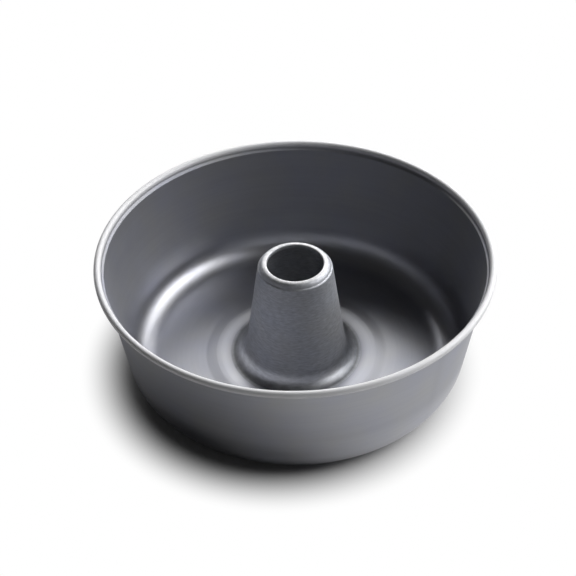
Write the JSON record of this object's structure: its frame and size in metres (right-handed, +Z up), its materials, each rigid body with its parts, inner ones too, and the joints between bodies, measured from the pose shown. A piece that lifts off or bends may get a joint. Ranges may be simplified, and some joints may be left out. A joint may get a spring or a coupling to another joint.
{
  "type": "angel food cake pan",
  "caption": "Deep round cake pan with a sloping wall, a curled rim over wire and a fixed hollow centre tube, for tall ring cakes.",
  "frame": {"origin": "centre of the flat underside that the pan rests on", "axes": "+Z up along the centre tube, out of the pan's open top; X and Y lie in the surface it rests on"},
  "size_m": [0.254, 0.254, 0.0865],
  "materials": {
    "coated_shell": "satin metallic grey non-stick coating on drawn steel sheet",
    "coated_tube": "the same coating over fine turning marks that run round the tube",
    "wire_steel": "plain drawn steel wire, hidden in the rim"
  },
  "bodies": {
    "root": {"pan_body": "coated_shell", "centre_tube": "coated_tube", "rim_wire": "wire_steel"}
  },
  "joints": []
}
